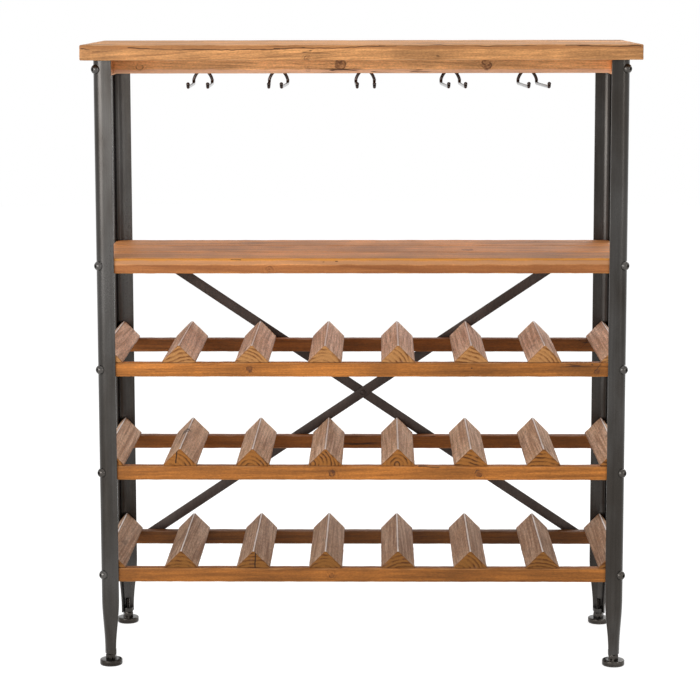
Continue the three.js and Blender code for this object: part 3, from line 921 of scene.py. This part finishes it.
def draw_in(post, corner_x, corner_y):
    """Narrows the flanges of a post towards its foot and draws the bend in."""
    for point in post.data.vertices:
        narrow = fade(point.co.z, taper_bottom, taper_top)
        squeeze = (post_leg - post_foot_leg) / (post_leg - post_bend) * narrow
        for axis, corner in ((0, corner_x), (1, corner_y)):
            depth = point.co[axis] - corner
            past = max(0, depth - post_bend)
            point.co[axis] += post_foot_inset * narrow - past * squeeze


def weld_boss(corner_x, corner_y):
    """The threaded boss in the foot of a post: a thick ring."""
    place = (corner_x + foot_inset, corner_y + foot_inset, post_bottom + boss_height / 2)
    round_bar = {"vertices": 40, "radius": boss_radius, "depth": boss_height}
    bpy.ops.mesh.primitive_cylinder_add(location=place, **round_bar)
    boss = bpy.context.object
    bpy.ops.object.transform_apply()
    bpy.ops.object.mode_set(mode="EDIT")
    pick(boss, "FACE", lambda face: abs(face.normal.z) > 0.5)
    bpy.ops.mesh.inset(thickness=boss_radius - stem_hole)
    bpy.ops.mesh.bridge_edge_loops()
    bpy.ops.object.mode_set(mode="OBJECT")
    ease_edges(boss, boss_ease)
    return boss


wood_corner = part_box("shelf_board")[0]
corner_x = wood_corner.x - post_gauge - wood_gap
corner_y = wood_corner.y - post_gauge - wood_gap
model_post = bend_post(corner_x, corner_y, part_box("post_front_left")[1].z)
ease_edges(model_post, edge_ease)
slice_finely(model_post, (1, 1, post_slice))
draw_in(model_post, corner_x, corner_y)
model_post = join_up("model_post", [model_post, weld_boss(corner_x, corner_y)])
bpy.ops.object.shade_smooth_by_angle(angle=flange_smooth)


def copy_of(model, name):
    """A copy of a model piece, with a mesh of its own."""
    piece = model.copy()
    piece.data = model.data.copy()
    piece.name = name
    scene.collection.objects.link(piece)
    return piece


corners = {
    "front_left": (1, 1),
    "front_right": (-1, 1),
    "back_left": (1, -1),
    "back_right": (-1, -1),
}
for corner, (side_x, side_y) in corners.items():
    post = copy_of(model_post, f"bent_post_{corner}")
    post.data.transform(Matrix.Diagonal((side_x, side_y, 1, 1)))
    if side_x * side_y < 0:
        post.data.flip_normals()
    fit_piece(post, f"post_{corner}", "post_steel", post_steel)
bpy.data.objects.remove(model_post)

# The bolts
# Round-headed socket bolts through the bend of each post, one into the side rail, one into
# the shelf and one into each tier. They are turned steel, darkened with the posts.
bolt_radius = 0.0085
bolt_height = 0.0075
bolt_skirt = 0.0027
bolt_shank = 0.0030
bolt_sink = 0.0075
bolt_rings = 10
socket_mouth = 0.0033
socket_across = 0.0050
socket_depth = 0.0022
round_smooth = math.radians(40)


def turn_part(name, profile, sides):
    """A part turned on the Z axis through rings of the given radii and heights."""
    radius, height = profile[0]
    bpy.ops.mesh.primitive_circle_add(vertices=sides, radius=radius, location=(0, 0, height))
    part = bpy.context.object
    part.name = name
    bpy.ops.object.transform_apply()
    bpy.ops.object.mode_set(mode="EDIT")
    bpy.ops.mesh.select_all(action="SELECT")
    bpy.ops.mesh.edge_face_add()
    bpy.ops.mesh.select_mode(type="EDGE")
    for wider, higher in profile[1:]:
        bpy.ops.mesh.extrude_edges_move(TRANSFORM_OT_translate={"value": (0, 0, higher - height)})
        bpy.ops.transform.resize(value=(wider / radius, wider / radius, 1))
        radius, height = wider, higher
    bpy.ops.mesh.edge_face_add()
    bpy.ops.object.mode_set(mode="OBJECT")
    mend_skin()
    return part


def dome(radius, height, stop, steps):
    """Rings of a domed head from its rim up to a smaller radius."""
    sphere = (radius * radius + height * height) / (2 * height)
    rings = []
    for i in range(steps + 1):
        at = radius + (stop - radius) * i / steps
        rings.append((at, height - sphere + math.sqrt(sphere * sphere - at * at)))
    return rings


def hex_reach(angle, across):
    """How far a hexagon of the given width across its flats reaches at an angle."""
    return across / 2 / math.cos((angle + math.pi / 6) % (math.pi / 3) - math.pi / 6)


def press_hexagon(part, across, top):
    """Moves the rings of a turned part inside a radius out to a hexagon, for a socket."""
    for point in part.data.vertices:
        reach = math.hypot(point.co.x, point.co.y)
        if reach < across * 0.55 and point.co.z < top:
            angle = math.atan2(point.co.y, point.co.x)
            grow = hex_reach(angle, across) / (across / 2) if reach > across * 0.3 else 1
            point.co.x *= grow
            point.co.y *= grow


bolt_rim = [
    (bolt_shank, -bolt_sink),
    (bolt_shank, -bolt_skirt),
    (bolt_radius - 0.0005, -bolt_skirt),
    (bolt_radius - 0.0001, -0.0020),
]
bolt_dome = dome(bolt_radius, bolt_height, socket_mouth, bolt_rings)
socket_top = bolt_dome[-1][1]
socket_rings = [
    (socket_across / 2 + 0.0002, socket_top - 0.0001),
    (socket_across / 2, socket_top - 0.0003),
    (socket_across / 2, socket_top - socket_depth),
    (0.0010, socket_top - socket_depth - 0.0004),
]
model_bolt = turn_part("model_bolt", bolt_rim + bolt_dome + socket_rings, 36)
press_hexagon(model_bolt, socket_across, socket_top - 0.0002)
bpy.ops.object.shade_smooth_by_angle(angle=round_smooth)
bolt_steel = dark_steel("bolt_steel", paint(92, 90, 88), paint(74, 70, 66), 0.30, 0.95)


def set_in_place(model, name, place, outward, turn):
    """A copy of a part turned about its axis, pointed outward and set down at its place."""
    part = copy_of(model, name)
    aim = Vector(outward).to_track_quat("Z", "Y").to_matrix().to_4x4()
    part.data.transform(Matrix.Translation(place) @ aim @ Matrix.Rotation(turn, 4, "Z"))
    return part


bolted = ["top_side_rail_left", "shelf_board"]
bolted += [f"tier_{number}_front_rail" for number in tier_numbers]
bolt_depth = post_bend * (1 - math.sqrt(0.5))
for corner, (side_x, side_y) in corners.items():
    for count, node in enumerate(bolted):
        across = (side_x * (corner_x + bolt_depth), side_y * (corner_y + bolt_depth))
        seat = Vector((*across, middle_of(node).z))
        turn = random.Random(f"{corner} {count}").uniform(0, math.pi / 3)
        outward = (-side_x, -side_y, 0)
        bolt = set_in_place(model_bolt, f"bolt_{corner}_{count + 1}", seat, outward, turn)
        bolt.data.materials.append(bolt_steel)
        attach(bolt, "rack")
bpy.data.objects.remove(model_bolt)

# The levelling feet
# A steel disc over a hard pad, with a lock nut and a threaded stem that screws up into the
# boss of the post. Turned, threaded and blackened.
nut_across = 0.017
nut_top = 0.0197
stem_radius = 0.004
thread_sides = 28
stem_root = 0.0034
stem_bottom = 0.012
stem_top = 0.046
thread_pitch = 0.00125
nut_bottom = 0.0098
nut_slope = math.radians(30)
foot_smooth = math.radians(35)
disc_rings = [
    (0.0172, 0.0),
    (0.0190, 0.0003),
    (0.0198, 0.0012),
    (0.0200, 0.0022),
    (0.0200, 0.0040),
    (0.0196, 0.0043),
    (0.0196, 0.0047),
    (0.0200, 0.0050),
    (0.0200, 0.0082),
    (0.0197, 0.0092),
    (0.0190, 0.0099),
    (0.0182, 0.0101),
    (0.0120, 0.0100),
    (0.0060, 0.0100),
]
model_disc = turn_part("model_disc", disc_rings, 64)

nut_chamfer = nut_across / 2 * 0.98
nut_rings = [
    (nut_chamfer, nut_bottom),
    (nut_across / 2, nut_bottom + 0.0003),
    (nut_across / 2, nut_top - 0.0004),
    (nut_chamfer, nut_top),
    (0.0043, nut_top),
]
model_nut = turn_part("model_nut", nut_rings, 60)
for point in model_nut.data.vertices:
    reach = math.hypot(point.co.x, point.co.y)
    if reach > nut_across * 0.495:
        grown = hex_reach(math.atan2(point.co.y, point.co.x), nut_across)
        point.co.x *= grown / reach
        point.co.y *= grown / reach
        if point.co.z > (nut_bottom + nut_top) / 2:
            point.co.z -= (grown - nut_across / 2) * math.tan(nut_slope)

bpy.ops.mesh.primitive_plane_add(size=0.001, location=(stem_root, 0, stem_bottom))
model_stem = bpy.context.object
bpy.ops.object.transform_apply()
bpy.ops.object.mode_set(mode="EDIT")
bpy.ops.mesh.select_mode(type="VERT")
bpy.ops.mesh.select_all(action="SELECT")
bpy.ops.mesh.merge(type="CENTER")
thread_depth = stem_radius - stem_root
for outward, rise in ((thread_depth, 0.45), (0, 0.10), (-thread_depth, 0.45)):
    step = (outward, 0, rise * thread_pitch)
    bpy.ops.mesh.extrude_vertices_move(TRANSFORM_OT_translate={"value": step})
bpy.ops.object.mode_set(mode="OBJECT")
wound = model_stem.modifiers.new("wound", "SCREW")
wound.steps = thread_sides
wound.render_steps = thread_sides
wound.screw_offset = thread_pitch
wound.iterations = round((stem_top - stem_bottom) / thread_pitch) - 1
wound.use_merge_vertices = True
wound.merge_threshold = fine_weld
bpy.ops.object.modifier_apply(modifier="wound")
bpy.ops.object.mode_set(mode="EDIT")
bpy.ops.mesh.select_all(action="SELECT")
bpy.ops.mesh.remove_doubles(threshold=same_place)
bpy.ops.mesh.fill_holes(sides=0)
bpy.ops.object.mode_set(mode="OBJECT")
model_foot = join_up("model_foot", [model_disc, model_nut, model_stem])
mend_skin()
bpy.ops.object.shade_smooth_by_angle(angle=foot_smooth)
foot_steel = dark_steel("foot_steel", paint(74, 70, 66), paint(54, 50, 46), 0.19, 0.95)
for corner in corners:
    body = f"foot_{corner}"
    place = Vector((*middle_of(body).xy, 0))
    turn = random.Random(corner).uniform(0, math.pi / 3)
    foot = set_in_place(model_foot, f"levelling_{body}", place, (0, 0, 1), turn)
    fit_piece(foot, body, "foot_steel", foot_steel, body=body)
bpy.data.objects.remove(model_foot)

# The crossed braces
# Two flat bars behind the tiers, from the shelf's back edge to the lowest back rail, riveted
# where they cross. The bar behind springs back over the other there. Painted almost black.
brace_width = 0.018
brace_gauge = 0.003
brace_past_hole = 0.011
brace_corner = 0.004
clip_rounds = 4
brace_ease = 0.0004
brace_slice = 0.012
spring_gap = 0.0033
spring_flat = 0.018
spring_reach = 0.210
brace_steel = dark_steel("brace_steel", paint(72, 62, 57), paint(58, 48, 43), 0.50, 0.55)
hole_low = middle_of("brace_screw_bottom_left")
hole_high = middle_of("brace_screw_top_right")
brace_rise = hole_high.z - hole_low.z
brace_run = hole_high.x - hole_low.x
brace_slope = math.atan2(brace_rise, brace_run)
brace_half = math.hypot(brace_rise, brace_run) / 2 + brace_past_hole
brace_middle = (hole_low.z + hole_high.z) / 2
brace_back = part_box("brace_rising")[1].y


def cut_brace(name, node, spring, way):
    """A flat bar with its corners clipped, sprung back at the crossing, laid at its slope."""
    low = Vector((-brace_half, brace_back - brace_gauge, -brace_width / 2))
    high = Vector((brace_half, brace_back, brace_width / 2))
    bar = saw_timber(name, low, high)
    half_gauge = brace_gauge / 2
    round_edges(
        bar,
        lambda run: abs(run.verts[0].co.y - run.verts[1].co.y) > half_gauge,
        brace_corner,
        clip_rounds,
    )
    ease_edges(bar, brace_ease)
    slice_finely(bar, (brace_slice, 1, 1))
    for point in bar.data.vertices:
        point.co.y += spring * fade(abs(point.co.x), spring_flat, spring_reach)
    slope = Matrix.Rotation(-way * brace_slope, 4, "Y")
    bar.data.transform(Matrix.Translation((0, 0, brace_middle)) @ slope)
    bpy.ops.object.shade_smooth_by_angle(angle=foot_smooth)
    fit_piece(bar, node, "brace_steel", brace_steel)


cut_brace("brace_bar_rising", "brace_rising", 0, 1)
cut_brace("brace_bar_falling", "brace_falling", spring_gap, -1)

# The rivet and the screws of the braces
# A round-headed rivet where the bars cross, and a round-headed wood screw with a cross
# recess at each end of each bar.
rivet_shank = 0.0025
rivet_head = 0.0025
head_middle = 0.0004
head_rings = 6
head_sides = 32
rivet_low, rivet_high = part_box("brace_rivet")
rivet_radius = (rivet_high.x - rivet_low.x) / 2
rivet_reach = rivet_high.y - rivet_low.y - 2 * rivet_head
head = dome(rivet_radius, rivet_head, head_middle, head_rings)
front_head = [(radius, -height) for radius, height in reversed(head)]
back_head = [(radius, rivet_reach + height) for radius, height in head]
shank = [(rivet_shank, 0.0), (rivet_shank, rivet_reach)]
rivet = turn_part("rivet", front_head + shank + back_head, head_sides)
lie_down = Matrix.Rotation(-math.pi / 2, 4, "X")
rivet.data.transform(Matrix.Translation((0, rivet_low.y + rivet_head, brace_middle)) @ lie_down)
bpy.ops.object.shade_smooth_by_angle(angle=round_smooth)
fit_piece(rivet, "brace_rivet", "brace_steel", brace_steel)


def turn_screw(name, radius, height, shank_radius, shank_length):
    """A round-headed wood screw on the Z axis, with a cross cut into its head."""
    rings = [
        (0.0003, -shank_length),
        (shank_radius * 0.7, -shank_length * 0.8),
        (shank_radius, -shank_length * 0.6),
        (shank_radius, -0.00005),
        (radius - 0.0002, 0.0),
        (radius, 0.0003),
    ]
    screw = turn_part(name, rings + dome(radius, height, head_middle, head_rings), head_sides)
    for turn in (0, math.pi / 2):
        bpy.ops.mesh.primitive_cube_add(size=1, location=(0, 0, height), rotation=(0, 0, turn))
        blade = bpy.context.object
        blade.scale = (radius * 1.1, radius * 0.2, height * 1.1)
        bpy.ops.object.transform_apply()
        cross = screw.modifiers.new("cross", "BOOLEAN")
        cross.operation = "DIFFERENCE"
        cross.object = blade
        bpy.context.view_layer.objects.active = screw
        bpy.ops.object.modifier_apply(modifier="cross")
        bpy.data.objects.remove(blade)
    take_up(screw)
    mend_skin(fine_weld)
    bpy.ops.object.shade_smooth_by_angle(angle=foot_smooth)
    return screw


def drive_screw(model, name, node, height):
    """A copy of a screw, turned as it happens to stop, with its head on the plain screw's."""
    seat = middle_of(node)
    seat.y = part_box(node)[1].y - height
    turn = random.Random(node).uniform(0, math.pi / 2)
    screw = set_in_place(model, name, seat, (0, 1, 0), turn)
    fit_piece(screw, node, "brace_steel", brace_steel)


brace_screw_head = 0.0024
brace_screw = turn_screw("model_screw", 0.0045, brace_screw_head, 0.002, 0.016)
for height in ("top", "bottom"):
    for side in ("left", "right"):
        node = f"brace_screw_{height}_{side}"
        drive_screw(brace_screw, f"{node}_head", node, brace_screw_head)
bpy.data.objects.remove(brace_screw)

# The wire loops for glasses
# Round wire bent by hand into a narrow arch, hooked over a screw behind the centre rail,
# with two legs that run forward to balls at their tips. A glass hangs by its foot between.
wire_radius = 0.0028
loop_spacing = 0.033
loop_reach = 0.158
loop_drop = 0.019
loop_bend = 0.007
tip_bend = 0.0035
loop_screw_rise = 0.006
loop_crown = 0.0053
loop_shoulder = 0.88
wire_gap = 0.0003
ball_middle = 0.0055
ball_half = 0.0032
ball_swell = 1.16
ball_neck = 0.22
ball_tip = 0.02
ball_rings = 8
shoulder_steps = 12
wire_weld = 0.00008
wire_smooth = math.radians(50)
rail_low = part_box("top_centre_rail")[0]
rail_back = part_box("top_centre_rail")[1].y
wire_steel = dark_steel("wire_steel", paint(72, 62, 58), paint(58, 48, 44), 0.14, 0.95)
loops = [
    (0.017, 1.03),
    (0.004, 0.66),
    (0.014, 0.90),
    (0.047, 0.88),
    (0.068, 1.06),
]


def arc(centre, radius, start, stop, steps):
    """Points round part of a circle, in a plane."""
    angles = [start + (stop - start) * i / steps for i in range(steps + 1)]
    return [
        (centre[0] + radius * math.cos(angle), centre[1] + radius * math.sin(angle))
        for angle in angles
    ]


def half_loop(lean, tip_half):
    """Right half of a loop: its crown, shoulder and leg, as points with a thickness share."""
    half = loop_spacing / 2
    crown_height = loop_drop + loop_screw_rise
    arch = arc((0, crown_height), loop_crown, math.pi / 2, 0, 8)
    knee = (loop_shoulder * half, (crown_height + loop_bend) / 2)
    ends = np.array([(loop_crown, crown_height), knee, (half, loop_bend)])
    for i in range(1, shoulder_steps + 1):
        down = i / shoulder_steps
        weights = ((1 - down) ** 2, 2 * down * (1 - down), down * down)
        arch.append(weights @ ends)
    points = [(x, 0, z, 1) for x, z in arch]
    leg = arc((loop_bend, loop_bend), loop_bend, math.pi, 1.5 * math.pi, 8)[1:]
    leg += [(loop_reach * share, 0) for share in (0.15, 0.35, 0.55, 0.75, 0.9)]
    leg += arc((loop_reach - tip_bend, tip_bend), tip_bend, -math.pi / 2, 0, 6)
    for reach, height in leg:
        across = half + (lean + tip_half - half) * reach / loop_reach
        points.append((across, -reach, height, 1))
    tip_x = lean + tip_half
    for i in range(ball_rings + 1):
        angle = math.pi * (ball_neck + (1 - ball_neck) * i / ball_rings)
        swell = max(ball_tip, ball_swell * math.sin(angle))
        points.append((tip_x, -loop_reach, ball_middle - ball_half * math.cos(angle), swell))
    return points


def bend_loop(name, place, lean, spread):
    """A loop of wire swept along its two halves, with a ball formed at each tip."""
    tip_half = spread * loop_spacing / 2
    right = half_loop(lean, tip_half)
    left = [(-x, y, z, size) for x, y, z, size in half_loop(-lean, tip_half)]
    run = left[::-1] + right[1:]
    curve = bpy.data.curves.new(name, "CURVE")
    curve.dimensions = "3D"
    curve.bevel_depth = wire_radius
    curve.bevel_resolution = 5
    curve.use_fill_caps = True
    spline = curve.splines.new("POLY")
    spline.points.add(len(run) - 1)
    for point, (x, y, z, size) in zip(spline.points, run):
        point.co = (place.x + x, place.y + y, place.z + z, 1)
        point.radius = size
    loop = bpy.data.objects.new(name, curve)
    scene.collection.objects.link(loop)
    take_up(loop)
    bpy.ops.object.convert(target="MESH")
    loop = bpy.context.object
    mend_skin(wire_weld)
    bpy.ops.object.shade_smooth_by_angle(angle=wire_smooth)
    return loop


loop_screw_head = 0.0028
loop_screw = turn_screw("model_loop_screw", 0.0055, loop_screw_head, 0.0022, 0.019)
for number, (lean, spread) in enumerate(loops, 1):
    node = f"glass_hanger_screw_{number}"
    place = Vector((middle_of(node).x, rail_back + wire_gap + wire_radius, rail_low.z - loop_drop))
    wire = bend_loop(f"wire_loop_{number}", place, lean * loop_reach, spread)
    fit_piece(wire, f"glass_hanger_{number}", "hanger_wire", wire_steel)
    drive_screw(loop_screw, f"wire_loop_screw_{number}", node, loop_screw_head)
bpy.data.objects.remove(loop_screw)
